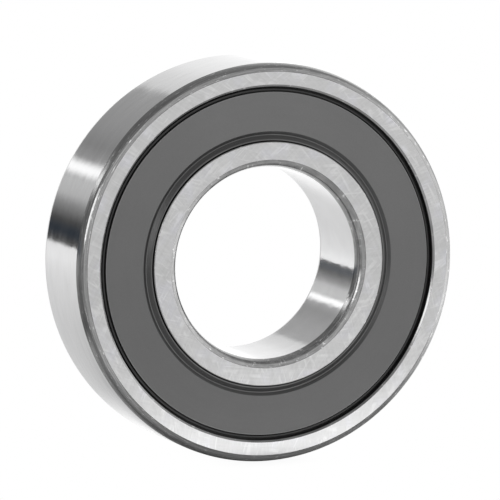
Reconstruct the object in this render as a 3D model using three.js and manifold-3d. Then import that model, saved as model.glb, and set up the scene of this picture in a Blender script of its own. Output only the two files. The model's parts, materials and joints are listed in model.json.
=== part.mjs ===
// A sealed deep-groove ball bearing, 28 x 58 x 16 mm, as an assembly of its separate pieces.
// Units are millimetres, +Z is up. The bearing stands upright: its axis is the Y axis, its centre
// is the origin, and its front face looks towards -Y.
//
// Every turned piece is a closed outline of (radius, axial place) points revolved about Y. An outline
// runs anticlockwise with the radius to the right and the axial place upwards.
import * as THREE from "three";
import { mergeVertices } from "three/addons/utils/BufferGeometryUtils.js";
import Module from "manifold-3d";

const wasm = await Module();
wasm.setup();

// Boundary dimensions.
const BORE_RADIUS = 14;
const OUTER_RADIUS = 29;
const HALF_WIDTH = 8;
const CHAMFER_RADIAL = 1.15;
const CHAMFER_AXIAL = 1.7;
const CHAMFER_STEPS = 3;

// Balls and raceways.
const BALL_COUNT = 9;
const BALL_RADIUS = 8.731 / 2;
const PITCH_RADIUS = 21.5;
const INNER_GROOVE_RADIUS = 1.04 * BALL_RADIUS;
const OUTER_GROOVE_RADIUS = 1.06 * BALL_RADIUS;
const RADIAL_CLEARANCE = 0.1;
const INNER_SHOULDER_RADIUS = 19;
const OUTER_SHOULDER_RADIUS = 24.5;
const GROOVE_STEPS = 8;

// Seal seats in the rings. Depths are measured inwards from the side face.
const SEAL_LAND_RADIUS = 17.66;
const SEAL_LAND_DEPTH = 2.1;
const SHOULDER_FLANK_DEPTH = 2.4;
const SEAL_MOUTH_RADIUS = 25.76;
const SNAP_GROOVE_RADIUS = 26.5;
const SNAP_LIP_DEPTH = 0.85;
const SNAP_TOP_DEPTH = 1.15;
const SNAP_BOTTOM_DEPTH = 2.05;

// Rubber seal.
const SEAL_FACE_DEPTH = 0.4;
const SEAL_BACK_DEPTH = 1.75;
const SEAL_FACE_INNER_RADIUS = 19.19;
const SEAL_FACE_OUTER_RADIUS = 24.8;
const SEAL_LEDGE_RADIUS = 25.3;
const SEAL_LEDGE_DEPTH = 0.8;
const SEAL_BEAD_RADIUS = 26.3;
const SEAL_BEAD_TOP_DEPTH = 1.35;
const SEAL_BEAD_BOTTOM_DEPTH = 1.9;
const LIP_GROOVE_DEPTH = 1.05;
const LIP_GROOVE_TAPER = 0.1;
const LIP_OUTER_RADIUS = 18.55;
const LIP_INNER_RADIUS = 18;
const LIP_FACE_DEPTH = 0.7;
const LIP_TIP_RADIUS = 17.85;
const LIP_TIP_DEPTH = 1.55;

// Steel washer in the back of the seal.
const INSERT_RECESS_DEPTH = 1.15;
const INSERT_INNER_RADIUS = 19.7;
const INSERT_OUTER_RADIUS = 24.9;
const INSERT_THICKNESS = 0.4;
const INSERT_GAP = 0.1;

// Pressed cage.
const CAGE_INNER_RADIUS = 19.8;
const CAGE_OUTER_RADIUS = 23.2;
const CAGE_SHEET = 0.85;
const CAGE_SPLIT_GAP = 0.1;
const POCKET_CLEARANCE = 0.35;
const POCKET_RADIUS = BALL_RADIUS + POCKET_CLEARANCE;
const POCKET_SHELL_RADIUS = POCKET_RADIUS + CAGE_SHEET;

// Rivets.
const RIVET_RADIUS = 0.8;
const RIVET_HOLE_RADIUS = 0.92;
const RIVET_HEAD_RADIUS = 1.4;
const RIVET_HEAD_HEIGHT = 0.5;
const RIVET_HEAD_GAP = 0.1;

// Segments round a full turn.
const RING_SEGMENTS = 48;
const SEAL_SEGMENTS = 40;
const CAGE_SEGMENTS = 4 * BALL_COUNT;
const POCKET_SEGMENTS = 16;
const BALL_SEGMENTS = 16;
const RIVET_SEGMENTS = 8;

const BALL_STEP_ANGLE = (2 * Math.PI) / BALL_COUNT;

const steel = { color: 0xc4c6c8, roughness: 0.28, metalness: 1 };
const ballSteel = { color: 0xd4d6d8, roughness: 0.08, metalness: 1 };
const sheetSteel = { color: 0xaaa9a6, roughness: 0.42, metalness: 1 };
const rivetSteel = { color: 0x9c9c9c, roughness: 0.5, metalness: 1 };
const rubber = { color: 0x6c6d6e, roughness: 0.75, metalness: 0 };

const bearing = new THREE.Group();

function addPiece(name, geometry, look) {
  const mesh = new THREE.Mesh(geometry, new THREE.MeshStandardMaterial(look));
  mesh.name = name;
  bearing.add(mesh);
  return mesh;
}

const point = (radius, axial) => new THREE.Vector2(radius, axial);

// A point at a depth inwards from the rear side face.
const fromFace = (radius, depth) => point(radius, HALF_WIDTH - depth);

// The closed outline's revolved solid about the Y axis.
function turned(outline, segments) {
  return new THREE.LatheGeometry([...outline, outline[0].clone()], segments);
}

// Points of a circular arc from one angle to another, both included.
function arc(centre, radius, from, to, steps) {
  return Array.from({ length: steps + 1 }, (_, i) => {
    const angle = from + ((to - from) * i) / steps;
    return point(centre.x + radius * Math.cos(angle), centre.y + radius * Math.sin(angle));
  });
}

// Quarter of an ellipse that rounds a ring's corner, from its cylinder to its rear side face.
function chamfer(cylinderRadius, faceRadius) {
  const radial = faceRadius - cylinderRadius;
  return Array.from({ length: CHAMFER_STEPS + 1 }, (_, i) => {
    const angle = (i / CHAMFER_STEPS) * (Math.PI / 2);
    return fromFace(
      cylinderRadius + radial * (1 - Math.cos(angle)),
      CHAMFER_AXIAL * (1 - Math.sin(angle)),
    );
  });
}

// The same points mirrored to the other side face, in the order that continues the outline.
const mirrored = (points) => points.map((p) => point(p.x, -p.y)).reverse();

// The raceway is a toroidal groove: its section is an arc a little larger than the ball.
function outerRaceway() {
  const bottom = PITCH_RADIUS + BALL_RADIUS + RADIAL_CLEARANCE;
  const centre = point(bottom - OUTER_GROOVE_RADIUS, 0);
  const half = Math.acos((OUTER_SHOULDER_RADIUS - centre.x) / OUTER_GROOVE_RADIUS);
  return arc(centre, OUTER_GROOVE_RADIUS, half, -half, GROOVE_STEPS);
}

function innerRaceway() {
  const bottom = PITCH_RADIUS - BALL_RADIUS - RADIAL_CLEARANCE;
  const centre = point(bottom + INNER_GROOVE_RADIUS, 0);
  const half = Math.acos((centre.x - INNER_SHOULDER_RADIUS) / INNER_GROOVE_RADIUS);
  return arc(centre, INNER_GROOVE_RADIUS, Math.PI + half, Math.PI - half, GROOVE_STEPS);
}

function outerRing() {
  const upperCorner = chamfer(OUTER_RADIUS, OUTER_RADIUS - CHAMFER_RADIAL);
  const upperSeat = [
    fromFace(SEAL_MOUTH_RADIUS, 0),
    fromFace(SEAL_MOUTH_RADIUS, SNAP_LIP_DEPTH),
    fromFace(SNAP_GROOVE_RADIUS, SNAP_TOP_DEPTH),
    fromFace(SNAP_GROOVE_RADIUS, SNAP_BOTTOM_DEPTH),
    fromFace(OUTER_SHOULDER_RADIUS, SNAP_BOTTOM_DEPTH),
  ];
  return turned(
    [...upperCorner, ...upperSeat, ...outerRaceway(), ...mirrored(upperSeat), ...mirrored(upperCorner)],
    RING_SEGMENTS,
  );
}

function innerRing() {
  const upperCorner = chamfer(BORE_RADIUS, BORE_RADIUS + CHAMFER_RADIAL);
  const upperSeat = [
    fromFace(SEAL_LAND_RADIUS, 0),
    fromFace(SEAL_LAND_RADIUS, SEAL_LAND_DEPTH),
    fromFace(INNER_SHOULDER_RADIUS, SHOULDER_FLANK_DEPTH),
  ];
  const outline = [
    ...upperCorner,
    ...upperSeat,
    ...innerRaceway().reverse(),
    ...mirrored(upperSeat),
    ...mirrored(upperCorner),
  ];
  return turned(outline.reverse(), RING_SEGMENTS);
}

// The rear seal's outline: its visible face looks towards +Y.
function sealOutline() {
  const lip = [
    fromFace(SEAL_FACE_INNER_RADIUS, SEAL_FACE_DEPTH),
    fromFace(SEAL_FACE_INNER_RADIUS - LIP_GROOVE_TAPER, LIP_GROOVE_DEPTH),
    fromFace(LIP_OUTER_RADIUS + LIP_GROOVE_TAPER, LIP_GROOVE_DEPTH),
    fromFace(LIP_OUTER_RADIUS, LIP_FACE_DEPTH),
    fromFace(LIP_INNER_RADIUS, LIP_FACE_DEPTH),
    fromFace(LIP_TIP_RADIUS, LIP_TIP_DEPTH),
    fromFace(LIP_INNER_RADIUS, SEAL_BACK_DEPTH),
  ];
  const recess = [
    fromFace(INSERT_INNER_RADIUS - INSERT_GAP, SEAL_BACK_DEPTH),
    fromFace(INSERT_INNER_RADIUS - INSERT_GAP, INSERT_RECESS_DEPTH),
    fromFace(INSERT_OUTER_RADIUS + INSERT_GAP, INSERT_RECESS_DEPTH),
    fromFace(INSERT_OUTER_RADIUS + INSERT_GAP, SEAL_BACK_DEPTH),
  ];
  const bead = [
    fromFace(SEAL_LEDGE_RADIUS, SEAL_BEAD_BOTTOM_DEPTH),
    fromFace(SEAL_BEAD_RADIUS, SEAL_BEAD_BOTTOM_DEPTH),
    fromFace(SEAL_BEAD_RADIUS, SEAL_BEAD_TOP_DEPTH),
    fromFace(SEAL_LEDGE_RADIUS, SEAL_BEAD_TOP_DEPTH),
    fromFace(SEAL_LEDGE_RADIUS, SEAL_LEDGE_DEPTH),
    fromFace(SEAL_FACE_OUTER_RADIUS, SEAL_FACE_DEPTH),
  ];
  return [...lip, ...recess, ...bead];
}

function insertOutline() {
  const top = INSERT_RECESS_DEPTH + INSERT_GAP;
  return [
    fromFace(INSERT_INNER_RADIUS, top + INSERT_THICKNESS),
    fromFace(INSERT_OUTER_RADIUS, top + INSERT_THICKNESS),
    fromFace(INSERT_OUTER_RADIUS, top),
    fromFace(INSERT_INNER_RADIUS, top),
  ];
}

// A geometry as a solid that can be joined and cut.
function solid(geometry) {
  geometry.deleteAttribute("normal");
  geometry.deleteAttribute("uv");
  const merged = mergeVertices(geometry);
  return new wasm.Manifold(
    new wasm.Mesh({
      numProp: 3,
      vertProperties: merged.attributes.position.array,
      triVerts: new Uint32Array(merged.index.array),
    }),
  );
}

function geometryOf(manifold) {
  const { vertProperties, triVerts } = manifold.getMesh();
  const geometry = new THREE.BufferGeometry();
  geometry.setAttribute("position", new THREE.BufferAttribute(vertProperties, 3));
  geometry.setIndex(new THREE.BufferAttribute(triVerts, 1));
  return geometry;
}

// A ring of rectangular section between two radii and two axial places.
function band(innerRadius, outerRadius, low, high) {
  return turned(
    [point(innerRadius, low), point(outerRadius, low), point(outerRadius, high), point(innerRadius, high)],
    CAGE_SEGMENTS,
  );
}

// The place on the pitch circle at an angle from +Z, turning about +Y.
function onPitchCircle(angle) {
  return new THREE.Vector3(PITCH_RADIUS * Math.sin(angle), 0, PITCH_RADIUS * Math.cos(angle));
}

function sphereAt(radius, place) {
  const sphere = new THREE.SphereGeometry(radius, POCKET_SEGMENTS, POCKET_SEGMENTS / 2);
  return solid(sphere.translate(place.x, place.y, place.z));
}

function holeAt(place) {
  const hole = new THREE.CylinderGeometry(RIVET_HOLE_RADIUS, RIVET_HOLE_RADIUS, HALF_WIDTH, RIVET_SEGMENTS);
  return solid(hole.translate(place.x, place.y, place.z));
}

// One half of the ribbon: flats that carry the rivets, and a half-round pocket over each ball.
function cageHalf() {
  const flats = solid(
    band(CAGE_INNER_RADIUS, CAGE_OUTER_RADIUS, CAGE_SPLIT_GAP, CAGE_SPLIT_GAP + CAGE_SHEET),
  );
  const reach = solid(band(CAGE_INNER_RADIUS, CAGE_OUTER_RADIUS, CAGE_SPLIT_GAP, HALF_WIDTH));
  let half = flats;
  for (let i = 0; i < BALL_COUNT; i += 1) {
    const shell = sphereAt(POCKET_SHELL_RADIUS, onPitchCircle(i * BALL_STEP_ANGLE));
    half = half.add(shell.intersect(reach));
  }
  for (let i = 0; i < BALL_COUNT; i += 1) {
    half = half.subtract(sphereAt(POCKET_RADIUS, onPitchCircle(i * BALL_STEP_ANGLE)));
    half = half.subtract(holeAt(onPitchCircle((i + 0.5) * BALL_STEP_ANGLE)));
  }
  return geometryOf(half);
}

// A shank through both flats with a head on each end, revolved about its own axis.
function rivet() {
  const neck = CAGE_SPLIT_GAP + CAGE_SHEET + RIVET_HEAD_GAP;
  const top = neck + RIVET_HEAD_HEIGHT;
  const headHalf = [
    point(RIVET_RADIUS, neck),
    point(RIVET_HEAD_RADIUS, neck),
    point(RIVET_RADIUS, top),
    point(0, top),
  ];
  return new THREE.LatheGeometry([...mirrored(headHalf), ...headHalf], RIVET_SEGMENTS);
}

addPiece("outer_ring", outerRing(), steel);
addPiece("inner_ring", innerRing(), steel);

const rearSeal = turned(sealOutline(), SEAL_SEGMENTS);
const rearInsert = turned(insertOutline(), SEAL_SEGMENTS);
addPiece("seal_rear", rearSeal, rubber);
addPiece("seal_rear_insert", rearInsert, sheetSteel);
// Half a turn about Z carries the rear pieces to the front.
addPiece("seal_front", rearSeal, rubber).rotation.z = Math.PI;
addPiece("seal_front_insert", rearInsert, sheetSteel).rotation.z = Math.PI;

// Half a turn about Z maps the ball at +Z onto itself, so both cage halves meet round the same balls.
const cageGeometry = cageHalf();
addPiece("cage_rear", cageGeometry, sheetSteel);
addPiece("cage_front", cageGeometry, sheetSteel).rotation.z = Math.PI;

for (let i = 0; i < BALL_COUNT; i += 1) {
  const ball = new THREE.SphereGeometry(BALL_RADIUS, BALL_SEGMENTS, BALL_SEGMENTS / 2);
  addPiece(`ball_${i + 1}`, ball, ballSteel).position.copy(onPitchCircle(i * BALL_STEP_ANGLE));
  const seat = onPitchCircle((i + 0.5) * BALL_STEP_ANGLE);
  addPiece(`rivet_${i + 1}`, rivet(), rivetSteel).position.copy(seat);
}

export default bearing;
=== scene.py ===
"""Looks of a sealed deep-groove ball bearing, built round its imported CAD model.

The bearing stands upright on a pale floor: its axis is Y, its centre is the origin and its front
face looks towards -Y. Blender works in metres; sections are drawn in millimetres, as points of
(radius, axial place), and run anticlockwise with the radius to the right.
"""
import json
import math

import bmesh
import bpy
import numpy as np
from mathutils import Matrix, Vector

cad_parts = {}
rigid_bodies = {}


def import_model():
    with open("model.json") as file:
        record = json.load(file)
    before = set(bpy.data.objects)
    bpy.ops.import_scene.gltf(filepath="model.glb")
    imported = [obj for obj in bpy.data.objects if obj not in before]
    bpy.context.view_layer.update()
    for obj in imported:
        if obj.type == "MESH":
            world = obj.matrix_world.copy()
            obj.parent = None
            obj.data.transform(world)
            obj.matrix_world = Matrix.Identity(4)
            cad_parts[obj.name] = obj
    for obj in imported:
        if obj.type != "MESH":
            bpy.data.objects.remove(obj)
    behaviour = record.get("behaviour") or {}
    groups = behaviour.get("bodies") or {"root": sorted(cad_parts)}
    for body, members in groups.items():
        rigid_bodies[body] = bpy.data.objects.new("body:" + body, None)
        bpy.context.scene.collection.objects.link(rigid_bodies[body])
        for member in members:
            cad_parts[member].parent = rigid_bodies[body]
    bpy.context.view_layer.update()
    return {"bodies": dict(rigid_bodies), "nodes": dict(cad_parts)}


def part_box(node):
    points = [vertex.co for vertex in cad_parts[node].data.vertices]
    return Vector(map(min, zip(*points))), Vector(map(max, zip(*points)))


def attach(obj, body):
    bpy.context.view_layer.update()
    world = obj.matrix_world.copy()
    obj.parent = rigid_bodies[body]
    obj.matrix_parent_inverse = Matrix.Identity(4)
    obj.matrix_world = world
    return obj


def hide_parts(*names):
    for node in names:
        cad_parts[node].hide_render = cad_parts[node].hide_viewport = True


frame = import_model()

MM = 0.001
FULL_TURN = 2 * math.pi


# ---- Places and sizes read from the CAD model ----

def half_size(node, axis):
    low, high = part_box(node)
    return (high[axis] - low[axis]) / 2 / MM


def centre_of(node):
    low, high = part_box(node)
    return (low + high) / 2


def least_radius(node):
    return min(math.hypot(v.co.x, v.co.z) for v in frame["nodes"][node].data.vertices) / MM


OUTER_RADIUS = half_size("outer_ring", 0)
HALF_WIDTH = half_size("outer_ring", 1)
BORE_RADIUS = least_radius("inner_ring")
BALL_RADIUS = half_size("ball_1", 1)
PITCH_RADIUS = centre_of("ball_1").length / MM
BALL_COUNT = sum(name.startswith("ball_") for name in frame["nodes"])
BEAD_RADIUS = half_size("seal_rear", 0)
INSERT_OUTER_RADIUS = half_size("seal_rear_insert", 0)
CAGE_OUTER_RADIUS = half_size("cage_rear", 0)
RIVET_HALF_LENGTH = half_size("rivet_1", 1)

# Rings. Depths are measured inwards from the side face, and a corner's radial and axial reach
# from where the side face and the cylinder would meet.
CORNER_RADIAL = 1.15
CORNER_AXIAL = 1.65
CORNER_STEPS = 20
CORNER_START = math.radians(11)
CORNER_FACET = math.radians(50)
CORNER_CONE = math.radians(66)
FACET_RADIAL = 0.17
CONE_RADIAL = 0.56
LAND_EDGE_ROUND = 0.17
MOUTH_RADIUS = 25.71
MOUTH_BEVEL_RADIUS = 25.99
MOUTH_BEVEL_DEPTH = 0.21
MOUTH_DEPTH = 0.85
SNAP_GROOVE_RADIUS = 26.5
SNAP_GROOVE_TOP = 1.15
SNAP_GROOVE_FLOOR = 2.05
OUTER_SHOULDER_RADIUS = 24.5
INNER_SHOULDER_RADIUS = 19
LAND_RADIUS = 17.77
LAND_DEPTH = 2.1
FLANK_DEPTH = 2.4
SEAT_DEPTH = 3.1
RACE_CLEARANCE = 0.1
RACE_STEPS = 28
OUTER_OSCULATION = 1.06
INNER_OSCULATION = 1.04

# Seals.
SEAL_FACE_DEPTH = 0.4
SEAL_BACK_DEPTH = 1.75
SEAL_FACE_INNER = 19.24
SEAL_FACE_OUTER = 24.93
RIM_GROOVE_DEPTH = 1.05
LEDGE_INNER = 25.1
LEDGE_OUTER = 25.42
LEDGE_DEPTH = 0.66
BEAD_TOP = 1.35
BEAD_FLOOR = 1.9
VALLEY_RADIUS = 18.72
VALLEY_DEPTH = 0.74
CREST_RADIUS = 18.1
CREST_DEPTH = 0.28
LIP_RADIUS = 17.88
LIP_TIP_DEPTH = 1.5
LIP_TAPER = 0.15
FLAT_EDGE_DEPTH = 0.05
# Radii of thin paler rings painted on the seal as highlights: at the flat's outer edge and at the
# lip's crest.
PAINTED_FLAT_HIGHLIGHT_RADIUS = 24.88
PAINTED_LIP_HIGHLIGHT_RADIUS = 18.01
INSERT_TOP_DEPTH = 1.25
INSERT_THICKNESS = 0.4
INSERT_INNER = 19.7
INSERT_GAP = 0.1

# Cage.
CAGE_SHEET = 0.85
CAGE_INNER_RADIUS = 19.8
SPLIT_GAP = 0.1
POCKET_CLEARANCE = 0.35
POCKET_RADIUS = BALL_RADIUS + POCKET_CLEARANCE
FOLD_ROUND = 0.25
FOLD_SHARP_FROM = math.radians(40)
RIVET_RADIUS = 0.8
RIVET_HOLE_RADIUS = 0.92
RIVET_HEAD_RADIUS = 1.4
RIVET_HEAD_DEPTH = 0.5
DOME_STEPS = 8

# Steps along a rounding, and the largest part of a side's length that a rounding takes.
ROUNDING_STEPS = 5
ROUNDING_MOST = 0.45

# Segments round a full turn, and cuts across a ball's six patches.
RING_SEGMENTS = 384
SEAL_SEGMENTS = 320
RIVET_SEGMENTS = 32
BALL_CUTS = 23

# Places of the cage's sheet: over half a pocket, over half a flat, and from its inside outwards.
POCKET_STEPS = 26
FLAT_STEPS = 9
CAGE_ROWS = 9

# A length too small to matter, and one in metres for points that are the same.
HAIR = 0.001
SAME_POINT = 1e-7


# ---- Sections ----

class Point:
    """A point of a section. Its tangent is None at a sharp corner."""

    def __init__(self, radius, axial, tangent=None):
        self.place = Vector((radius, axial))
        self.tangent = tangent


def rounded(corners):
    """The section's points, with each corner (radius, axial, rounding) softened by a small arc."""
    points = []
    count = len(corners)
    for i, (radius, axial, rounding) in enumerate(corners):
        corner = Vector((radius, axial))
        before = Vector(corners[i - 1][:2]) - corner
        after = Vector(corners[(i + 1) % count][:2]) - corner
        if rounding == 0:
            points.append(Point(radius, axial))
            continue
        reach = min(rounding, ROUNDING_MOST * before.length, ROUNDING_MOST * after.length)
        start = corner + before.normalized() * reach
        end = corner + after.normalized() * reach
        for k in range(ROUNDING_STEPS + 1):
            t = k / ROUNDING_STEPS
            place = start * (1 - t) ** 2 + corner * (2 * t * (1 - t)) + end * t ** 2
            tangent = ((corner - start) * (1 - t) + (end - corner) * t).normalized()
            points.append(Point(place.x, place.y, tangent))
    return points


def mirrored(points):
    """The same points on the other side of the middle plane, in the order that goes on round."""
    out = []
    for p in reversed(points):
        tangent = Vector((-p.tangent.x, p.tangent.y)) if p.tangent else None
        out.append(Point(p.place.x, -p.place.y, tangent))
    return out


def reversed_run(points):
    out = []
    for p in reversed(points):
        out.append(Point(p.place.x, p.place.y, -p.tangent if p.tangent else None))
    return out


def corner_curve(cylinder, face):
    """From the ring's cylinder to its rear side face: a bend, a narrow facet, then a flatter cone.

    Its ends and the facet's far edge are crisp. The angles are between the surface and the axis.
    """
    inward = math.copysign(1, face - cylinder)

    def way(angle):
        return Vector((inward * math.sin(angle), math.cos(angle)))

    start = Vector((cylinder, HALF_WIDTH - CORNER_AXIAL))
    edge = Vector((face, HALF_WIDTH))
    cone = edge - way(CORNER_CONE) * (CONE_RADIAL / math.sin(CORNER_CONE))
    facet = cone - way(CORNER_FACET) * (FACET_RADIAL / math.sin(CORNER_FACET))
    # The bend's two ways meet at its control point.
    before, after = way(CORNER_START), way(CORNER_FACET)
    across = facet - start
    reach = (across.x * after.y - across.y * after.x) / (before.x * after.y - before.y * after.x)
    control = start + before * reach
    points = [Point(*start)]
    for k in range(1, CORNER_STEPS + 1):
        t = k / CORNER_STEPS
        place = start * (1 - t) ** 2 + control * (2 * t * (1 - t)) + facet * t ** 2
        tangent = ((control - start) * (1 - t) + (facet - control) * t).normalized()
        points.append(Point(*place, tangent))
    return points + [Point(*cone), Point(*edge)]


def race_curve(centre, groove, middle, half):
    """The raceway's arc about its centre, turning clockwise from middle + half to middle - half."""
    points = []
    for k in range(RACE_STEPS + 1):
        angle = middle + half * (1 - 2 * k / RACE_STEPS)
        place = (centre + groove * math.cos(angle), groove * math.sin(angle))
        tangent = Vector((math.sin(angle), -math.cos(angle)))
        # The ends are the shoulders' sharp edges.
        points.append(Point(*place, tangent if 0 < k < RACE_STEPS else None))
    return points


def outer_ring_section():
    corner = corner_curve(OUTER_RADIUS, OUTER_RADIUS - CORNER_RADIAL)
    seat = rounded([
        (MOUTH_BEVEL_RADIUS, HALF_WIDTH, 0.03),
        (MOUTH_RADIUS, HALF_WIDTH - MOUTH_BEVEL_DEPTH, 0.05),
        (MOUTH_RADIUS, HALF_WIDTH - MOUTH_DEPTH, 0.15),
        (SNAP_GROOVE_RADIUS, HALF_WIDTH - SNAP_GROOVE_TOP, 0.15),
        (SNAP_GROOVE_RADIUS, HALF_WIDTH - SNAP_GROOVE_FLOOR, 0.15),
        (OUTER_SHOULDER_RADIUS, HALF_WIDTH - SNAP_GROOVE_FLOOR, 0.1),
        (OUTER_SHOULDER_RADIUS, 0, 0),
        (OUTER_RADIUS, 0, 0),
        (OUTER_RADIUS - CORNER_RADIAL, HALF_WIDTH, 0),
    ])[:-3]
    groove = OUTER_OSCULATION * BALL_RADIUS
    centre = PITCH_RADIUS + BALL_RADIUS + RACE_CLEARANCE - groove
    half = math.acos((OUTER_SHOULDER_RADIUS - centre) / groove)
    race = race_curve(centre, groove, 0, half)
    return corner + seat + race + mirrored(seat) + mirrored(corner)


def inner_ring_section():
    corner = corner_curve(BORE_RADIUS, BORE_RADIUS + CORNER_RADIAL)
    seat = rounded([
        (LAND_RADIUS, HALF_WIDTH, LAND_EDGE_ROUND),
        (LAND_RADIUS, HALF_WIDTH - LAND_DEPTH, 0.1),
        (INNER_SHOULDER_RADIUS, HALF_WIDTH - FLANK_DEPTH, 0.1),
        (INNER_SHOULDER_RADIUS, 0, 0),
        (BORE_RADIUS + CORNER_RADIAL, HALF_WIDTH, 0),
    ])[:-2]
    groove = INNER_OSCULATION * BALL_RADIUS
    centre = PITCH_RADIUS - BALL_RADIUS - RACE_CLEARANCE + groove
    half = math.acos((centre - INNER_SHOULDER_RADIUS) / groove)
    race = reversed_run(race_curve(centre, groove, math.pi, half))
    return reversed_run(corner + seat + race + mirrored(seat) + mirrored(corner))


def seal_section():
    """The rear seal: its visible face looks towards +Y."""
    back = HALF_WIDTH - SEAL_BACK_DEPTH
    recess = HALF_WIDTH - INSERT_TOP_DEPTH + INSERT_GAP
    return rounded([
        (SEAL_FACE_INNER, HALF_WIDTH - SEAL_FACE_DEPTH, 0.1),
        (VALLEY_RADIUS, HALF_WIDTH - VALLEY_DEPTH, 0.12),
        (CREST_RADIUS, HALF_WIDTH - CREST_DEPTH, 0.1),
        (LIP_RADIUS, HALF_WIDTH - CREST_DEPTH, 0.1),
        (LIP_RADIUS, HALF_WIDTH - LIP_TIP_DEPTH, 0.04),
        (LIP_RADIUS + LIP_TAPER, back, 0.1),
        (INSERT_INNER - INSERT_GAP, back, 0.05),
        (INSERT_INNER - INSERT_GAP, recess, 0.05),
        (INSERT_OUTER_RADIUS + INSERT_GAP, recess, 0.05),
        (INSERT_OUTER_RADIUS + INSERT_GAP, back, 0.05),
        (LEDGE_OUTER - 0.2, HALF_WIDTH - BEAD_FLOOR, 0.08),
        (BEAD_RADIUS, HALF_WIDTH - BEAD_FLOOR, 0.2),
        (BEAD_RADIUS, HALF_WIDTH - BEAD_TOP, 0.2),
        (LEDGE_OUTER, HALF_WIDTH - BEAD_TOP, 0.05),
        (LEDGE_OUTER, HALF_WIDTH - LEDGE_DEPTH, 0.12),
        (LEDGE_INNER, HALF_WIDTH - LEDGE_DEPTH, 0.07),
        (LEDGE_INNER - 0.02, HALF_WIDTH - RIM_GROOVE_DEPTH, 0.04),
        (SEAL_FACE_OUTER + 0.02, HALF_WIDTH - RIM_GROOVE_DEPTH, 0.04),
        (SEAL_FACE_OUTER, HALF_WIDTH - SEAL_FACE_DEPTH, 0.1),
    ])


def insert_section():
    top = HALF_WIDTH - INSERT_TOP_DEPTH
    low = top - INSERT_THICKNESS
    return rounded([
        (INSERT_INNER, low, 0.1),
        (INSERT_OUTER_RADIUS, low, 0.1),
        (INSERT_OUTER_RADIUS, top, 0.03),
        (INSERT_INNER, top, 0.03),
    ])


def rivet_section():
    """From the axis at one end to the axis at the other: a shank with a domed head on each end."""
    neck = RIVET_HALF_LENGTH - RIVET_HEAD_DEPTH
    dome = []
    for k in range(DOME_STEPS + 1):
        angle = k / DOME_STEPS * math.pi / 2
        place = (RIVET_HEAD_RADIUS * math.cos(angle), neck + RIVET_HEAD_DEPTH * math.sin(angle))
        slope = Vector((
            -RIVET_HEAD_RADIUS * math.sin(angle),
            RIVET_HEAD_DEPTH * math.cos(angle),
        ))
        dome.append(Point(*place, slope.normalized() if k else None))
    head = [Point(RIVET_RADIUS, neck)] + dome
    return mirrored(head) + head


# ---- Meshes ----

def loop_tangents(points, closed):
    """For each stretch of the section, the directions at its start and at its end."""
    count = len(points)
    stretches = []
    for i in range(count if closed else count - 1):
        a, b = points[i], points[(i + 1) % count]
        straight = (b.place - a.place).normalized()
        stretches.append((a.tangent or straight, b.tangent or straight))
    return stretches


def turned(name, points, segments, finish_of, materials, closed=True):
    """A section revolved about the Y axis, with exact normals and a finish for each stretch."""
    count = len(points)
    stretches = loop_tangents(points, closed)
    angles = [k / segments * FULL_TURN for k in range(segments)]
    verts = [
        (p.place.x * math.cos(a) * MM, p.place.y * MM, p.place.x * math.sin(a) * MM)
        for a in angles for p in points
    ]
    faces, normals, finishes = [], [], []
    for j, angle in enumerate(angles):
        ahead = (j + 1) % segments
        following = angles[ahead]
        for i, (start, end) in enumerate(stretches):
            k = (i + 1) % count
            faces.append((j * count + i, j * count + k, ahead * count + k, ahead * count + i))
            for turn, pair in ((angle, (start, end)), (following, (end, start))):
                for tangent in pair:
                    normals.append((
                        tangent.y * math.cos(turn), -tangent.x, tangent.y * math.sin(turn),
                    ))
            middle = (points[i].place + points[k].place) / 2
            finishes.append(finish_of(middle.x, middle.y))
    mesh = bpy.data.meshes.new(name)
    mesh.from_pydata(verts, [], faces)
    for material in materials:
        mesh.materials.append(material)
    mesh.polygons.foreach_set("material_index", finishes)
    mesh.polygons.foreach_set("use_smooth", [True] * len(faces))
    mesh.normals_split_custom_set(normals)
    return placed(name, mesh)


def placed(name, mesh):
    obj = bpy.data.objects.new(name, mesh)
    bpy.context.scene.collection.objects.link(obj)
    return obj


def smoothed(mesh, sharp_from):
    """Smooth shading, apart from the edges at which the sheet turns by the angle or more."""
    mesh.polygons.foreach_set("use_smooth", [True] * len(mesh.polygons))
    mesh.set_sharp_from_angle(angle=sharp_from)


def closed_poles(obj):
    """Joins the points that lie together on a turned piece's axis."""
    bm = bmesh.new()
    bm.from_mesh(obj.data)
    bmesh.ops.remove_doubles(bm, verts=bm.verts, dist=SAME_POINT)
    bm.to_mesh(obj.data)
    bm.free()


def ball_mesh(name, centre):
    """A ball whose quads spread evenly, with no poles: a finely cut cube pushed out to the ball."""
    bm = bmesh.new()
    bmesh.ops.create_cube(bm, size=2)
    bmesh.ops.subdivide_edges(bm, edges=bm.edges, cuts=BALL_CUTS, use_grid_fill=True)
    for v in bm.verts:
        even = Vector([math.tan(c * math.pi / 4) for c in v.co])
        v.co = centre + even.normalized() * BALL_RADIUS * MM
    mesh = bpy.data.meshes.new(name)
    bm.to_mesh(mesh)
    bm.free()
    mesh.polygons.foreach_set("use_smooth", [True] * len(mesh.polygons))
    return mesh


def soft_max(a, b, blend):
    """The larger of two heights, with a smooth fold of about the blend's size between them."""
    gap = a - b
    return (a + b + np.sqrt(gap ** 2 + blend ** 2)) / 2


def cage_angles():
    """Places round the cage, which crowd together towards the pockets' walls."""
    pitch = FULL_TURN / BALL_COUNT
    wall = math.asin(POCKET_RADIUS / PITCH_RADIUS)
    pocket = wall * np.sin(np.linspace(0, math.pi / 2, POCKET_STEPS, endpoint=False))
    flat = np.linspace(wall, pitch / 2, FLAT_STEPS, endpoint=False)
    half = np.concatenate([pocket, flat])
    one = np.concatenate([half, [pitch / 2], pitch - half[:0:-1]])
    return np.concatenate([one + k * pitch for k in range(BALL_COUNT)])


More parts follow.
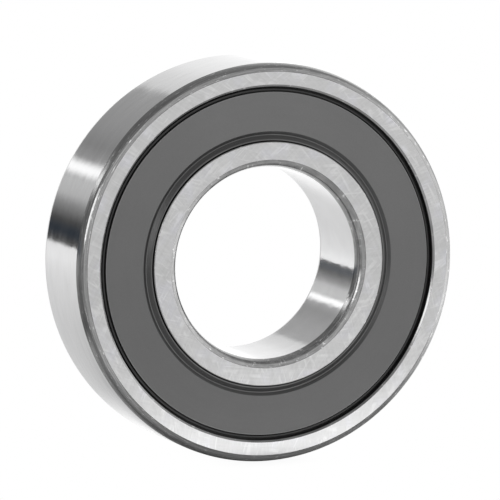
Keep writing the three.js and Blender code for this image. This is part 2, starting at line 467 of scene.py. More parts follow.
def cage_heights(angle, radius):
    """The heights of the sheet's two skins: round the nearest ball, or flat beyond it."""
    pitch = FULL_TURN / BALL_COUNT
    near = np.mod(angle + pitch / 2, pitch) - pitch / 2
    reach = radius ** 2 + PITCH_RADIUS ** 2 - 2 * radius * PITCH_RADIUS * np.cos(near)
    inside = np.sqrt(np.maximum(POCKET_RADIUS ** 2 - reach, 0))
    outside = np.sqrt(np.maximum((POCKET_RADIUS + CAGE_SHEET) ** 2 - reach, 0))
    low = soft_max(inside, SPLIT_GAP, FOLD_ROUND * (inside > 0))
    high = soft_max(outside, SPLIT_GAP + CAGE_SHEET, FOLD_ROUND)
    return low, high


def sheet_faces(columns, rows):
    """The two skins of a sheet that goes round the axis, and the walls along its two edges."""
    top = columns * rows
    faces = []
    for i in range(columns):
        n = (i + 1) % columns
        for j in range(rows - 1):
            quad = (i * rows + j, n * rows + j, n * rows + j + 1, i * rows + j + 1)
            faces.append(quad[::-1])
            faces.append(tuple(top + q for q in quad))
        inner, outer = (i * rows, n * rows), (i * rows + rows - 1, n * rows + rows - 1)
        faces.append((inner[0], inner[1], top + inner[1], top + inner[0]))
        faces.append((outer[1], outer[0], top + outer[0], top + outer[1]))
    return faces


def cage_half_mesh(name):
    """The ribbon cage's rear half: one sheet that bulges round each ball and lies flat between."""
    angles = cage_angles()
    radii = np.linspace(CAGE_INNER_RADIUS, CAGE_OUTER_RADIUS, CAGE_ROWS)
    a, r = np.meshgrid(angles, radii, indexing="ij")
    verts = []
    for height in cage_heights(a, r):
        places = np.stack([r * np.sin(a), height, r * np.cos(a)], axis=-1) * MM
        verts += places.reshape(-1, 3).tolist()
    mesh = bpy.data.meshes.new(name)
    mesh.from_pydata(verts, [], sheet_faces(len(angles), CAGE_ROWS))
    bm = bmesh.new()
    bm.from_mesh(mesh)
    bmesh.ops.recalc_face_normals(bm, faces=bm.faces)
    bm.to_mesh(mesh)
    bm.free()
    return mesh


def hole_cutter():
    """Round bars through all the rivet holes, as one mesh."""
    bm = bmesh.new()
    for k in range(BALL_COUNT):
        middle = centre_of(f"rivet_{k + 1}")
        turn = Matrix.Translation(middle) @ Matrix.Rotation(math.pi / 2, 4, "X")
        bmesh.ops.create_cone(
            bm, cap_ends=True, segments=RIVET_SEGMENTS, radius1=RIVET_HOLE_RADIUS * MM,
            radius2=RIVET_HOLE_RADIUS * MM, depth=HALF_WIDTH * MM, matrix=turn,
        )
    mesh = bpy.data.meshes.new("hole_bars")
    bm.to_mesh(mesh)
    bm.free()
    return placed("hole_bars", mesh)


def with_holes(mesh, cutter, name):
    """The sheet with its rivet holes cut."""
    blank = placed(name + "_blank", mesh)
    cut = blank.modifiers.new("holes", "BOOLEAN")
    cut.operation = "DIFFERENCE"
    cut.solver = "EXACT"
    cut.object = cutter
    seen = blank.evaluated_get(bpy.context.evaluated_depsgraph_get())
    made = bpy.data.meshes.new_from_object(seen)
    made.name = name
    bpy.data.objects.remove(blank)
    return made


# ---- Node materials ----

class Nodes:
    """Small helpers that add nodes to one tree."""

    def __init__(self, tree):
        self.tree = tree

    def add(self, kind, **settings):
        node = self.tree.nodes.new(kind)
        for key, value in settings.items():
            setattr(node, key, value)
        return node

    def put(self, socket, value):
        if isinstance(value, bpy.types.NodeSocket):
            self.tree.links.new(value, socket)
        else:
            socket.default_value = value

    def math(self, operation, *values):
        node = self.add("ShaderNodeMath", operation=operation)
        for socket, value in zip(node.inputs, values):
            self.put(socket, value)
        return node.outputs[0]

    def vector(self, operation, *values):
        node = self.add("ShaderNodeVectorMath", operation=operation)
        for socket, value in zip(node.inputs, values):
            self.put(socket, value)
        return node.outputs["Value" if operation in ("LENGTH", "DOT_PRODUCT") else "Vector"]

    def joined(self, x, y, z):
        node = self.add("ShaderNodeCombineXYZ")
        for socket, value in zip(node.inputs, (x, y, z)):
            self.put(socket, value)
        return node.outputs[0]

    def noise(self, place, scale=1.0, detail=2.0, roughness=0.5):
        node = self.add("ShaderNodeTexNoise")
        self.put(node.inputs["Vector"], place)
        node.inputs["Scale"].default_value = scale
        node.inputs["Detail"].default_value = detail
        node.inputs["Roughness"].default_value = roughness
        return node.outputs["Fac"]

    def fitted(self, value, low, high, to_low=0.0, to_high=1.0, smooth=False):
        """The value moved from one range to another, and held inside it."""
        way = "SMOOTHSTEP" if smooth else "LINEAR"
        node = self.add("ShaderNodeMapRange", interpolation_type=way)
        for socket, number in zip(node.inputs, (value, low, high, to_low, to_high)):
            self.put(socket, number)
        return node.outputs[0]

    def spread(self, noise, to_low, to_high):
        """The usual range of a noise moved to the range given."""
        return self.fitted(noise, 0.3, 0.7, to_low, to_high)

    def product(self, first, *others):
        for other in others:
            first = self.math("MULTIPLY", first, other)
        return first

    def total(self, first, *others):
        for other in others:
            first = self.math("ADD", first, other)
        return first

    def gap(self, value, place):
        """How far the value is from the place, on either side of it."""
        return self.math("ABSOLUTE", self.math("SUBTRACT", value, place))

    def mixed(self, share, a, b):
        """a where the share is 0 and b where it is 1."""
        rest = self.product(a, self.math("SUBTRACT", 1.0, share))
        return self.total(rest, self.product(b, share))

    def grey(self, value, tint=(1.0, 1.0, 1.0)):
        return self.joined(*(self.product(value, t) for t in tint))

    def bump(self, height, distance, below=None):
        """The normal over a height map whose full height is the distance, in metres."""
        node = self.add("ShaderNodeBump")
        self.put(node.inputs["Height"], height)
        node.inputs["Distance"].default_value = distance
        if below:
            self.put(node.inputs["Normal"], below)
        return node.outputs["Normal"]

    def ring_places(self):
        """The surface point: its radius and axial place in mm, and its direction from the axis."""
        spot = self.add("ShaderNodeTexCoord").outputs["Object"]
        parts = self.add("ShaderNodeSeparateXYZ")
        self.put(parts.inputs[0], spot)
        x, y, z = (self.math("DIVIDE", parts.outputs[k], MM) for k in range(3))
        radius = self.vector("LENGTH", self.joined(x, 0.0, z))
        across = self.math("DIVIDE", x, radius)
        up = self.math("DIVIDE", z, radius)
        return radius, y, across, up


def metal(name, level, roughness):
    """A new grey metal material with its shader and a node helper."""
    material = bpy.data.materials.new(name)
    material.use_nodes = True
    shader = material.node_tree.nodes["Principled BSDF"]
    shader.inputs["Metallic"].default_value = 1.0
    shader.inputs["Base Color"].default_value = (level, level, level, 1)
    shader.inputs["Roughness"].default_value = roughness
    return material, shader, Nodes(material.node_tree)


def lathe_lines(n, along, across, up, pitch, breaks, detail=3.0):
    """Streaks round the axis, fine along the section. More breaks make them shorter."""
    place = n.joined(n.product(along, 1 / pitch), n.product(across, breaks), n.product(up, breaks))
    return n.noise(place, detail=detail)


def ground_cylinder(name, base, metallic):
    """Ground steel: fine lines round the axis and soft uneven patches."""
    material, shader, n = metal(name, base, 0.16)
    shader.inputs["Metallic"].default_value = metallic
    y, across, up = n.ring_places()[1:]
    fine = lathe_lines(n, y, across, up, pitch=0.4, breaks=9.0, detail=4.0)
    broad = lathe_lines(n, y, across, up, pitch=2.4, breaks=5.0, detail=4.0)
    level = n.total(n.spread(fine, -0.015, 0.015), n.spread(broad, base - 0.02, base + 0.02))
    n.put(shader.inputs["Base Color"], n.grey(level, (1.0, 1.0, 1.005)))
    n.put(shader.inputs["Roughness"], n.spread(broad, 0.06, 0.13))
    height = n.total(fine, n.product(broad, 5.0))
    n.put(shader.inputs["Normal"], n.bump(height, 4.5e-6))
    return material


# Centres, in millimetres, of the grinding wheel's arcs across a side face.
WHEEL_CENTRES = ((-52.0, -31.0), (58.0, -44.0), (9.0, 71.0))


def ground_face():
    """A side face: satin, crossed by the long shallow arcs and stray scratches of grinding."""
    material, shader, n = metal("ground_face", 0.58, 0.34)
    radius, y, across, up = n.ring_places()
    x, z = n.product(radius, across), n.product(radius, up)
    arcs, marks = [], []
    for k, (centre_x, centre_z) in enumerate(WHEEL_CENTRES):
        off_x, off_z = n.math("SUBTRACT", x, centre_x), n.math("SUBTRACT", z, centre_z)
        reach = n.vector("LENGTH", n.joined(off_x, off_z, 0.0))
        swing = n.product(n.math("ARCTAN2", off_z, off_x), 9.0)
        fine = n.joined(n.product(reach, 2.6), swing, 5.0 * k)
        arcs.append(n.noise(fine, detail=3.0, roughness=0.65))
        # A mark lies where a wide noise crosses its middle value, in some patches only.
        wide = n.joined(n.product(reach, 0.7), n.product(swing, 0.5), 40.0 + k)
        off_line = n.gap(n.noise(wide, detail=1.0), 0.5)
        shown = n.fitted(n.noise(n.joined(x, z, 20.0 * k), scale=0.45, detail=1.0), 0.48, 0.6)
        marks.append(n.product(n.fitted(off_line, 0.01, 0.03, 1.0, 0.0), shown))
    grain = n.total(*arcs)
    patches = n.noise(n.joined(x, z, 2.0), scale=0.3)
    scratch = n.math("MAXIMUM", marks[0], n.math("MAXIMUM", marks[1], marks[2]))
    level = n.total(
        n.fitted(grain, 1.2, 1.8, 0.575, 0.665),
        n.product(scratch, 0.08),
        n.fitted(patches, 0.35, 0.65, -0.015, 0.015),
    )
    cool = n.fitted(patches, 0.5, 0.68, 1.0, 1.035)
    n.put(shader.inputs["Base Color"], n.joined(level, level, n.product(level, cool)))
    n.put(shader.inputs["Roughness"], n.fitted(grain, 1.2, 1.8, 0.28, 0.4))
    n.put(shader.inputs["Normal"], n.bump(grain, 6e-6))
    return material


def turned_corner():
    """A ring's corner: darker turned steel with lines round it, worn spots and small knocks."""
    material, shader, n = metal("turned_corner", 0.42, 0.24)
    radius, y, across, up = n.ring_places()
    along = n.math("SUBTRACT", radius, n.math("ABSOLUTE", y))
    lines = lathe_lines(n, along, across, up, pitch=0.2, breaks=9.0)
    wear = lathe_lines(n, along, across, up, pitch=0.3, breaks=30.0, detail=4.0)
    knocks = n.product(n.fitted(wear, 0.6, 0.68), n.fitted(lines, 0.4, 0.6))
    level = n.total(n.fitted(lines, 0.35, 0.65, 0.34, 0.48), n.product(knocks, 0.5))
    # Darker in a thin line along the side face's edge, and a little darker over the facet and the
    # bend than over the cone.
    off_edge = n.math(
        "MINIMUM",
        n.gap(radius, OUTER_RADIUS - CORNER_RADIAL),
        n.gap(radius, BORE_RADIUS + CORNER_RADIAL),
    )
    level = n.product(
        level,
        n.fitted(off_edge, 0.02, 0.1, 0.7, 1.0),
        n.fitted(off_edge, CONE_RADIAL - 0.1, CONE_RADIAL, 1.0, 0.91),
    )
    n.put(shader.inputs["Base Color"], n.grey(level))
    n.put(shader.inputs["Roughness"], n.spread(lines, 0.12, 0.24))
    n.put(shader.inputs["Normal"], n.bump(n.total(lines, wear), 1.1e-5))
    return material


def seal_seat():
    """Hardened steel left as turned, inside the seal's gap."""
    material, shader, n = metal("seal_seat", 0.2, 0.4)
    radius, y, across, up = n.ring_places()
    lines = lathe_lines(n, n.total(radius, y), across, up, pitch=0.2, breaks=5.0)
    n.put(shader.inputs["Base Color"], n.grey(n.spread(lines, 0.14, 0.22)))
    n.put(shader.inputs["Roughness"], n.spread(lines, 0.32, 0.5))
    n.put(shader.inputs["Normal"], n.bump(lines, 1e-5))
    return material


def raceway():
    """Honed track, close to a mirror."""
    material, shader, n = metal("raceway", 0.66, 0.07)
    y, across, up = n.ring_places()[1:]
    lines = lathe_lines(n, y, across, up, pitch=0.08, breaks=12.0)
    n.put(shader.inputs["Base Color"], n.grey(n.spread(lines, 0.62, 0.68)))
    n.put(shader.inputs["Roughness"], n.spread(lines, 0.04, 0.1))
    n.put(shader.inputs["Normal"], n.bump(lines, 1.5e-6))
    return material


def ball_steel():
    """Lapped ball: a mirror with hair-fine scratches in every direction."""
    material, shader, n = metal("ball_mirror", 0.7, 0.04)
    spot = n.add("ShaderNodeTexCoord").outputs["Object"]
    haze = n.noise(spot, scale=900.0, detail=4.0)
    n.put(shader.inputs["Base Color"], n.grey(n.spread(haze, 0.68, 0.73)))
    n.put(shader.inputs["Roughness"], n.spread(haze, 0.02, 0.07))
    n.put(shader.inputs["Normal"], n.bump(n.noise(spot, scale=4000.0, detail=3.0), 1e-6))
    return material


def sheet_steel(name, base, roughness):
    """Cold-rolled sheet: satin, mottled, with a faint rolled grain."""
    material, shader, n = metal(name, base, roughness)
    spot = n.add("ShaderNodeTexCoord").outputs["Object"]
    grain = n.noise(n.vector("MULTIPLY", spot, (3000.0, 3000.0, 500.0)), detail=4.0)
    mottle = n.noise(spot, scale=350.0, detail=3.0)
    level = n.product(n.spread(grain, 0.9, 1.08), n.spread(mottle, base * 0.9, base))
    n.put(shader.inputs["Base Color"], n.grey(level, (1.0, 0.995, 0.98)))
    n.put(shader.inputs["Roughness"], n.spread(mottle, roughness - 0.06, roughness + 0.08))
    n.put(shader.inputs["Normal"], n.bump(grain, 6e-6))
    return material


def rubber(name, low, high, roughness, shine=0.5, painted_highlight_radii=()):
    """Moulded nitrile rubber with a fine grain and faint moulding rings, painted shading that is
    paler above the axis, and thin paler rings of painted highlight at the given radii.
    """
    material = bpy.data.materials.new(name)
    material.use_nodes = True
    shader = material.node_tree.nodes["Principled BSDF"]
    n = Nodes(material.node_tree)
    radius, y, across, up = n.ring_places()
    spot = n.add("ShaderNodeTexCoord").outputs["Object"]
    grain = n.noise(spot, scale=9000.0, detail=3.0)
    cloud = n.noise(spot, scale=90.0, detail=2.0)
    rings = lathe_lines(n, radius, across, up, pitch=0.5, breaks=1.5)
    # Painted shading: the rubber's colour is paler above the axis and darker below it, as light
    # from above would make it.
    level = n.product(
        n.spread(cloud, 0.97, 1.03),
        n.spread(grain, low, high),
        n.fitted(up, -1.0, 1.0, 0.76, 1.1),
    )
    # Painted highlights: a thin paler ring at each given radius, standing in for the glint that an
    # edge catches.
    for edge in painted_highlight_radii:
        painted_glint = n.fitted(n.gap(radius, edge), 0.03, 0.09, 0.09, 0.0)
        level = n.total(level, n.product(painted_glint, n.fitted(rings, 0.4, 0.6, 0.4, 1.0)))
    n.put(shader.inputs["Base Color"], n.grey(level))
    shader.inputs["Specular IOR Level"].default_value = shine
    n.put(shader.inputs["Roughness"], n.spread(rings, roughness - 0.04, roughness + 0.06))
    n.put(shader.inputs["Normal"], n.bump(grain, 1.2e-5, below=n.bump(rings, 4e-6)))
    return material


# ---- The pieces ----

def stand_in(obj, node):
    """The piece takes the place of a CAD node, on that node's body."""
    body = next(b for b, empty in frame["bodies"].items() if frame["nodes"][node].parent == empty)
    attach(obj, body)
    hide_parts(node)


def turned_round(mesh):
    """The mesh after half a turn about Z, which carries a rear piece to the front."""
    front = mesh.copy()
    front.transform(Matrix.Rotation(math.pi, 4, "Z"))
    return front


OUTSIDE, BORE, FACE, CORNER, SEAT, RACE = range(6)
RING_STEEL = [
    ground_cylinder("ground_outside", 0.65, 1.0), ground_cylinder("ground_bore", 0.8, 0.78),
    ground_face(), turned_corner(), seal_seat(), raceway(),
]


def outer_finish(radius, axial):
    height = abs(axial)
    if radius > OUTER_RADIUS - HAIR:
        return OUTSIDE
    if height > HALF_WIDTH - HAIR and radius < OUTER_RADIUS - CORNER_RADIAL:
        return FACE
    if radius > OUTER_RADIUS - CORNER_RADIAL or height > HALF_WIDTH - MOUTH_BEVEL_DEPTH:
        return CORNER
    return SEAT if height > HALF_WIDTH - SEAT_DEPTH else RACE


def inner_finish(radius, axial):
    height = abs(axial)
    if radius < BORE_RADIUS + HAIR:
        return BORE
    if height > HALF_WIDTH - HAIR and radius > BORE_RADIUS + CORNER_RADIAL:
        return FACE
    if radius < BORE_RADIUS + CORNER_RADIAL or height > HALF_WIDTH - LAND_EDGE_ROUND:
        return CORNER
    return SEAT if height > HALF_WIDTH - SEAT_DEPTH else RACE


# Seal finishes. The dark GROOVE finish is painted shade for the groove, the ledge and the hidden
# faces; the dark LIP finish is partly painted shade.
FLAT, LIP, GROOVE = range(3)


def seal_finish(radius, axial):
    """The flat is matte and pale. The lip is dark, partly its smoother rubber's own tone and partly
    painted shade; everything else, the groove and the ledge among it, is as dark, as painted shade.
    """
    depth = HALF_WIDTH - axial
    over_flat = SEAL_FACE_INNER - HAIR < radius < SEAL_FACE_OUTER + HAIR
    if over_flat and depth < SEAL_FACE_DEPTH + FLAT_EDGE_DEPTH:
        return FLAT
    return LIP if radius < SEAL_FACE_INNER and depth < VALLEY_DEPTH + HAIR else GROOVE


def one_finish(radius, axial):
    return 0


def build_rings():
    for side, section, finish_of in (
        ("outer", outer_ring_section(), outer_finish),
        ("inner", inner_ring_section(), inner_finish),
    ):
        ring = turned(f"ring_{side}_steel", section, RING_SEGMENTS, finish_of, RING_STEEL)
        stand_in(ring, f"{side}_ring")


def build_seals():
    skins = [
        # The flat's rubber carries a ring of painted highlight along its outer edge.
        rubber("matte_rubber", 0.164, 0.179, 0.6, 0.5, (PAINTED_FLAT_HIGHLIGHT_RADIUS,)),
        # The lip's dark rubber is partly its own smoother, darker tone and partly painted shade,
        # with painted highlight rings at the crest and at the valley's bottom.
        rubber("lip_rubber", 0.022, 0.027, 0.3, 1.0, (PAINTED_LIP_HIGHLIGHT_RADIUS, VALLEY_RADIUS)),
        # Painted shade: a near-black rubber for the groove, the ledge and the seal's hidden faces.
        rubber("groove_painted_shade_rubber", 0.022, 0.027, 0.5),
    ]
    washer = [sheet_steel("washer_steel", 0.45, 0.4)]
    rear = turned("rubber_seal_rear", seal_section(), SEAL_SEGMENTS, seal_finish, skins)
    plate = turned("seal_washer_rear", insert_section(), SEAL_SEGMENTS, one_finish, washer)
    front = placed("rubber_seal_front", turned_round(rear.data))
    front_plate = placed("seal_washer_front", turned_round(plate.data))
    stand_in(rear, "seal_rear")
    stand_in(front, "seal_front")
    stand_in(plate, "seal_rear_insert")
    stand_in(front_plate, "seal_front_insert")


def build_cage():
    steel = sheet_steel("cage_sheet", 0.5, 0.34)
    cutter = hole_cutter()
    mesh = with_holes(cage_half_mesh("cage_sheet_rear"), cutter, "cage_sheet_rear")
    bpy.data.objects.remove(cutter)
    mesh.materials.clear()
    mesh.materials.append(steel)
    smoothed(mesh, FOLD_SHARP_FROM)
    rear = placed("cage_sheet_rear", mesh)
    front = placed("cage_sheet_front", turned_round(mesh))
    stand_in(rear, "cage_rear")
    stand_in(front, "cage_front")


def build_rolling_set():
    mirror = ball_steel()
    rivet_finish = [sheet_steel("rivet_steel", 0.42, 0.42)]
    for k in range(1, BALL_COUNT + 1):
        mesh = ball_mesh(f"rolling_ball_{k}", centre_of(f"ball_{k}"))
        mesh.materials.append(mirror)
        stand_in(placed(f"rolling_ball_{k}", mesh), f"ball_{k}")
        pin = turned(
            f"cage_rivet_{k}", rivet_section(), RIVET_SEGMENTS, one_finish, rivet_finish,
            closed=False,
        )
        closed_poles(pin)
        pin.data.transform(Matrix.Translation(centre_of(f"rivet_{k}")))
        stand_in(pin, f"rivet_{k}")


# ---- Studio ----

CAMERA_AZIMUTH = math.radians(-21.77)
CAMERA_ELEVATION = math.radians(7.76)
CAMERA_DISTANCE = 0.818
CAMERA_LENS = 405.2
CAMERA_SENSOR = 36
CAMERA_AIM_RIGHT = 0.00019
CAMERA_AIM_UP = 0.00105


def build_camera():
    back = Vector((
        math.sin(CAMERA_AZIMUTH) * math.cos(CAMERA_ELEVATION),
        -math.cos(CAMERA_AZIMUTH) * math.cos(CAMERA_ELEVATION),
        math.sin(CAMERA_ELEVATION),
    ))
    right = Vector((math.cos(CAMERA_AZIMUTH), math.sin(CAMERA_AZIMUTH), 0))
    up = back.cross(right)
    camera = bpy.data.objects.new("camera", bpy.data.cameras.new("camera"))
    camera.data.lens = CAMERA_LENS
    camera.data.sensor_width = CAMERA_SENSOR
    camera.location = back * CAMERA_DISTANCE + right * CAMERA_AIM_RIGHT + up * CAMERA_AIM_UP
    camera.rotation_euler = (-back).to_track_quat("-Z", "Y").to_euler()
    bpy.context.scene.collection.objects.link(camera)
    bpy.context.scene.camera = camera


# Brightness of the room behind the bearing, going over its axis from the right (0) to the left (1):
# a bright wall, a grey ceiling, and a dark curtain low at the left.
ROOM = (
    (0.0, 1.45), (0.1, 1.12), (0.2, 1.06), (0.27, 1.03), (0.34, 0.9), (0.425, 0.82), (0.44, 0.45),
    (0.6, 0.38), (0.7, 0.3), (0.8, 0.5), (0.83, 0.68), (0.88, 0.62), (0.91, 0.34), (0.94, 0.2),
    (0.965, 0.085), (1.0, 0.04),
)
# A slope is the two places between which something changes, and its levels at the two. A fade is
# the two places alone. In the room a place is a part of the direction looked in, whose length is 1:
# x goes to the right, y to the rear and z up.
ROOM_BY_Y = (0.87, 0.7, 1.0, 0.72)
OVERHEAD_BY_X = (-0.3, 0.4, 0.25, 0.42)
OVERHEAD_Z_FADE = (0.35, 0.75)
FRONT_BY_Z = (0.25, 0.9, 0.98, 0.34)
FRONT_BY_X_RIGHT = (0.45, 0.75, 1.0, 1.3)
FRONT_RIGHT_Z_FADE = (0.2, 0.45)
FRONT_BY_X_LEFT = (-0.1, -0.35, 1.0, 0.72)
FRONT_Y_FADE = (0.22, -0.2)
CURTAIN_BRIGHTNESS = 0.3
CURTAIN_X_FADE = (-0.5, -0.8)
CURTAIN_Y_FADE = (0.5, 0.88)
CURTAIN_RED, CURTAIN_BLUE = 0.8, 1.3
BLUE_OVER_FADE = (0.97, 0.998)
BLUE_Y_FADE = (0.4, 0.8)
# The strip light lies along the axis, at the upper left. It leans to the left as it comes nearer,
# and it ends beside the bearing, where it is brighter and a little wider.
STRIP_FROM, STRIP_TO = 0.764, 0.806
STRIP_EDGE_FADE = (-0.016, 0.016)
STRIP_LEAN_BY_Y = (0.88, 0.72, 0.0, 0.04)
STRIP_WIDENING_BY_Y = (0.6, 0.1, 0.0, 0.022)
STRIP_BY_Y = (0.85, 0.55, 1.0, 2.4)
STRIP_END_Y_FADE = (0.4, 0.54)
# A tall narrow lamp beside the camera, on its left. Its turn is from straight ahead.
LAMP_TURN = math.radians(-55)
LAMP_EDGE_FADE = (math.radians(16), math.radians(8))
LAMP_TOP_Z_FADE = (0.43, 0.33)
LAMP_FOOT_Z_FADE = (0.03, 0.11)
LAMP_BRIGHTNESS = 2.4


def sky_room(n, over):
    """The room's brightness by the angle over the axis."""
    ramp = n.add("ShaderNodeValToRGB")
    n.put(ramp.inputs[0], over)
    stops = ramp.color_ramp.elements
    while len(stops) > 1:
        stops.remove(stops[-1])
    brightest = max(value for _, value in ROOM)
    for place, value in ROOM:
        stop = stops.new(place) if place else stops[0]
        stop.position = place
        level = value / brightest
        stop.color = (level, level, level, 1)
    return n.product(ramp.outputs["Color"], brightest)


def rear_room(n, x, y, z, over):
    """The room behind the bearing, and the darker ceiling overhead."""
    room = n.product(sky_room(n, over), n.fitted(y, *ROOM_BY_Y, smooth=True))
    overhead = n.fitted(x, *OVERHEAD_BY_X)
    return n.mixed(n.fitted(z, *OVERHEAD_Z_FADE, smooth=True), room, overhead)


def front_room(n, x, z):
    """The room on the camera's side: brighter low down and at the right, darker at the left."""
    right = n.mixed(
        n.fitted(z, *FRONT_RIGHT_Z_FADE),
        n.fitted(x, *FRONT_BY_X_RIGHT, smooth=True),
        1.0,
    )
    return n.product(
        n.fitted(z, *FRONT_BY_Z, smooth=True),
        right,
        n.fitted(x, *FRONT_BY_X_LEFT, smooth=True),
    )


def strip_light(n, y, over):
    lean = n.fitted(y, *STRIP_LEAN_BY_Y, smooth=True)
    start = n.total(lean, STRIP_FROM)
    end = n.total(lean, n.fitted(y, *STRIP_WIDENING_BY_Y, smooth=True), STRIP_TO)
    return n.product(
        n.fitted(n.math("SUBTRACT", over, start), *STRIP_EDGE_FADE, smooth=True),
        n.fitted(n.math("SUBTRACT", end, over), *STRIP_EDGE_FADE, smooth=True),
        n.fitted(y, *STRIP_BY_Y, smooth=True),
        n.fitted(y, *STRIP_END_Y_FADE, smooth=True),
    )


def side_lamp(n, x, y, z):
    turn = n.math("ARCTAN2", x, n.product(y, -1.0))
    return n.product(
        n.fitted(n.gap(turn, LAMP_TURN), *LAMP_EDGE_FADE, smooth=True),
        n.fitted(z, *LAMP_TOP_Z_FADE, smooth=True),
        n.fitted(z, *LAMP_FOOT_Z_FADE, smooth=True),
        LAMP_BRIGHTNESS,
    )


def build_world():
    world = bpy.data.worlds.new("studio")
    bpy.context.scene.world = world
    world.use_nodes = True
    tree = world.node_tree
    n = Nodes(tree)
    parts = n.add("ShaderNodeSeparateXYZ")
    n.put(parts.inputs[0], n.add("ShaderNodeTexCoord").outputs["Generated"])
    x, y, z = parts.outputs
    over = n.math("DIVIDE", n.math("ARCTAN2", n.math("ABSOLUTE", z), x), math.pi)
    in_front = n.fitted(y, *FRONT_Y_FADE, smooth=True)
    level = n.mixed(in_front, rear_room(n, x, y, z, over), front_room(n, x, z))
    # The curtain hangs at the left and ends towards the rear.
    curtain = n.mixed(n.fitted(y, *CURTAIN_Y_FADE), CURTAIN_BRIGHTNESS, level)
    level = n.mixed(n.fitted(x, *CURTAIN_X_FADE, smooth=True), level, curtain)
    level = n.total(level, strip_light(n, y, over), side_lamp(n, x, y, z))
    # The room's darkest part, low at the rear left, is a little blue.
    blue = n.product(n.fitted(over, *BLUE_OVER_FADE), n.fitted(y, *BLUE_Y_FADE))
    red_level = n.product(level, n.fitted(blue, 0.0, 1.0, 1.0, CURTAIN_RED))
    blue_level = n.product(level, n.fitted(blue, 0.0, 1.0, 1.0, CURTAIN_BLUE))
    background = tree.nodes["Background"]
    n.put(background.inputs["Color"], n.joined(red_level, level, blue_level))


# Slopes and fades of the table's glow. Places are in metres from the bearing's foot, apart from
# those of grazing looks, which go from 0 (straight down) to 1.
TABLE_RADIUS = 0.62
TABLE_SEGMENTS = 128
TABLE_BASE = 0.75
BEHIND_SLANT = 0.53
BEHIND_BY_SLANT = (-0.037, -0.018, 0.46, 0.78)
BEHIND_BY_FAR_SLANT = (-0.07, -0.27, 0.0, 0.28)
BEHIND_Y_FADE = (-0.004, 0.01)
BEHIND_BY_GRAZING = (0.2, 0.55, 0.3, 1.0)
AHEAD_START_FADE = (-0.0095, -0.018)
AHEAD_RIGHT_FROM, AHEAD_RIGHT_DELAY = 0.015, 0.15
AHEAD_LEFT_FROM, AHEAD_LEFT_LEAD = -0.005, 0.25
AHEAD_BY_Y = (-0.075, -0.028, 0.37, 1.6)
AHEAD_BY_X_LEFT = (-0.04, -0.015, 0.68, 1.0)
AHEAD_BY_X_RIGHT = (0.058, 0.078, 1.0, 1.22)
AHEAD_BY_GRAZING = (0.32, 0.84, 0.15, 1.0)
RIGHT_PULL = 1.2
RIGHT_BY_X = (0.015, 0.06, 0.0, 0.84)
# Painted shade: the table's colour and glow are darker at the left, in these parts of a half turn
# from -X, but not near the bearing.
SHARE_BY_REAR_TURN = (0.14, 0.34, 0.25, 1.0)
SHARE_BY_FRONT_TURN = (-0.04, -0.32, 0.25, 1.0)
SHARE_BY_DISTANCE = (0.07, 0.05, 0.0, 0.7)


def glow_behind(n, x, y, grazing):
    slant = n.math("SUBTRACT", x, n.product(y, BEHIND_SLANT))
    lit = n.total(
        n.fitted(slant, *BEHIND_BY_SLANT, smooth=True),
        n.fitted(slant, *BEHIND_BY_FAR_SLANT),
    )
    return n.product(
        lit,
        n.fitted(y, *BEHIND_Y_FADE, smooth=True),
        n.fitted(grazing, *BEHIND_BY_GRAZING),
    )


def glow_ahead(n, x, y, grazing):
    """This glow starts nearer to the bearing's foot on the left than on the right."""
    past_right = n.math("MAXIMUM", n.math("SUBTRACT", x, AHEAD_RIGHT_FROM), 0.0)
    past_left = n.math("MINIMUM", n.math("SUBTRACT", x, AHEAD_LEFT_FROM), 0.0)
    start = n.total(
        n.product(past_right, AHEAD_RIGHT_DELAY),
        n.product(past_left, AHEAD_LEFT_LEAD),
        y,
    )
    return n.product(
        n.fitted(start, *AHEAD_START_FADE, smooth=True),
        n.fitted(y, *AHEAD_BY_Y, smooth=True),
        n.fitted(x, *AHEAD_BY_X_LEFT),
        n.fitted(x, *AHEAD_BY_X_RIGHT),
        n.fitted(grazing, *AHEAD_BY_GRAZING),
    )


def glow_right(n, x, y):
    """This one starts further to the right the more it lies ahead."""
    pulled = n.total(x, n.product(n.math("MINIMUM", y, 0.0), RIGHT_PULL))
    return n.fitted(pulled, *RIGHT_BY_X, smooth=True)


def table_share(n, x, y):
    """The part of its full brightness that each place of the table has."""
    turn = n.math("DIVIDE", n.math("ARCTAN2", y, n.product(x, -1.0)), math.pi)
    sides = n.math(
        "MAXIMUM",
        n.fitted(turn, *SHARE_BY_REAR_TURN, smooth=True),
        n.fitted(turn, *SHARE_BY_FRONT_TURN, smooth=True),
    )
    near = n.fitted(n.vector("LENGTH", n.joined(x, y, 0.0)), *SHARE_BY_DISTANCE)
    return n.math("MAXIMUM", sides, near)


def table_material():
    """The pale table that the steel mirrors. Its glow stands for the lamps aimed at it."""
    material = bpy.data.materials.new("table")
    material.use_nodes = True
    shader = material.node_tree.nodes["Principled BSDF"]
    n = Nodes(material.node_tree)
    parts = n.add("ShaderNodeSeparateXYZ")
    n.put(parts.inputs[0], n.add("ShaderNodeTexCoord").outputs["Object"])
    x, y = parts.outputs[0], parts.outputs[1]
    grazing = n.add("ShaderNodeLayerWeight").outputs["Facing"]
    across = n.total(glow_behind(n, x, y, grazing), glow_ahead(n, x, y, grazing))
    share = table_share(n, x, y)
    glow = n.product(n.math("MAXIMUM", across, glow_right(n, x, y)), share)
    n.put(shader.inputs["Base Color"], n.grey(n.product(share, TABLE_BASE)))
    shader.inputs["Roughness"].default_value = 0.8
    shader.inputs["Emission Color"].default_value = (1, 1, 1, 1)
    n.put(shader.inputs["Emission Strength"], glow)
    return material


BACKDROP_RADIUS = 2.6
BACKDROP_ROWS = 24
BACKDROP_SEGMENTS = 96
# The paper's shade, by the distance in metres from a line under the bearing's width.
SHADE_BY_DISTANCE = (0.0, 0.006, 0.95, 1.0)
SHADE_WIDTH_PART = 0.8
SHADE_X_PART = 0.6


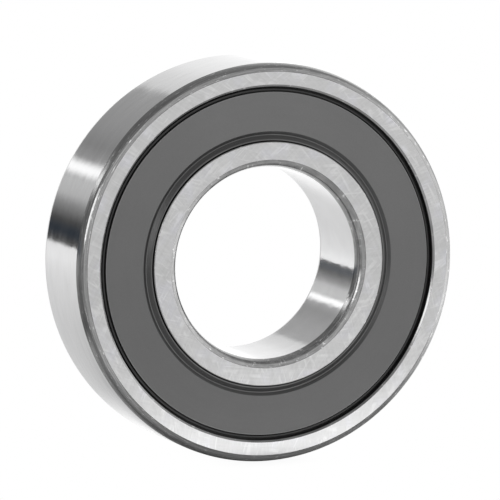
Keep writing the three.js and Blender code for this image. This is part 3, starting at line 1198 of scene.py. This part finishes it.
def backdrop_material():
    """White paper, evenly lit, with the faintest shade where the bearing touches it."""
    material = bpy.data.materials.new("white_paper")
    material.use_nodes = True
    tree = material.node_tree
    tree.nodes.clear()
    n = Nodes(tree)
    parts = n.add("ShaderNodeSeparateXYZ")
    n.put(parts.inputs[0], n.add("ShaderNodeTexCoord").outputs["Object"])
    x, y = n.product(parts.outputs[0], SHADE_X_PART), parts.outputs[1]
    past_end = n.math("SUBTRACT", n.math("ABSOLUTE", y), HALF_WIDTH * MM * SHADE_WIDTH_PART)
    beyond = n.math("MAXIMUM", past_end, 0.0)
    away = n.vector("LENGTH", n.joined(x, beyond, parts.outputs[2]))
    paper = n.add("ShaderNodeEmission")
    n.put(paper.inputs["Color"], n.grey(n.fitted(away, *SHADE_BY_DISTANCE, smooth=True)))
    n.put(n.add("ShaderNodeOutputMaterial").inputs["Surface"], paper.outputs[0])
    return material


def build_table():
    """Only reflections and soft light meet this one: the camera sees the paper in its place."""
    bm = bmesh.new()
    bmesh.ops.create_circle(bm, cap_ends=True, segments=TABLE_SEGMENTS, radius=TABLE_RADIUS)
    mesh = bpy.data.meshes.new("table")
    bm.to_mesh(mesh)
    bm.free()
    mesh.materials.append(table_material())
    table = placed("table", mesh)
    table.location.z = -OUTER_RADIUS * MM
    table.visible_camera = False


def build_backdrop():
    """The paper: a flat floor that goes up all round into a dome."""
    rise = [
        (BACKDROP_RADIUS * math.cos(a), BACKDROP_RADIUS * math.sin(a))
        for a in np.linspace(0, math.pi / 2, BACKDROP_ROWS)
    ]
    turn = np.linspace(0, FULL_TURN, BACKDROP_SEGMENTS, endpoint=False)
    verts = [(r * math.cos(a), r * math.sin(a), z) for r, z in rise for a in turn]
    count = len(turn)
    faces = [tuple(range(count))]
    for i in range(len(rise) - 1):
        for j in range(count):
            n = (j + 1) % count
            faces.append((i * count + j, i * count + n, (i + 1) * count + n, (i + 1) * count + j))
    mesh = bpy.data.meshes.new("backdrop")
    mesh.from_pydata(verts, [], faces)
    mesh.materials.append(backdrop_material())
    paper = placed("backdrop", mesh)
    paper.location.z = -OUTER_RADIUS * MM
    paper.visible_diffuse = False
    paper.visible_glossy = False
    paper.visible_transmission = False
    paper.visible_shadow = False


build_camera()
build_rings()
build_seals()
build_cage()
build_rolling_set()
build_table()
build_backdrop()
build_world()
bpy.context.scene.view_settings.view_transform = "Standard"
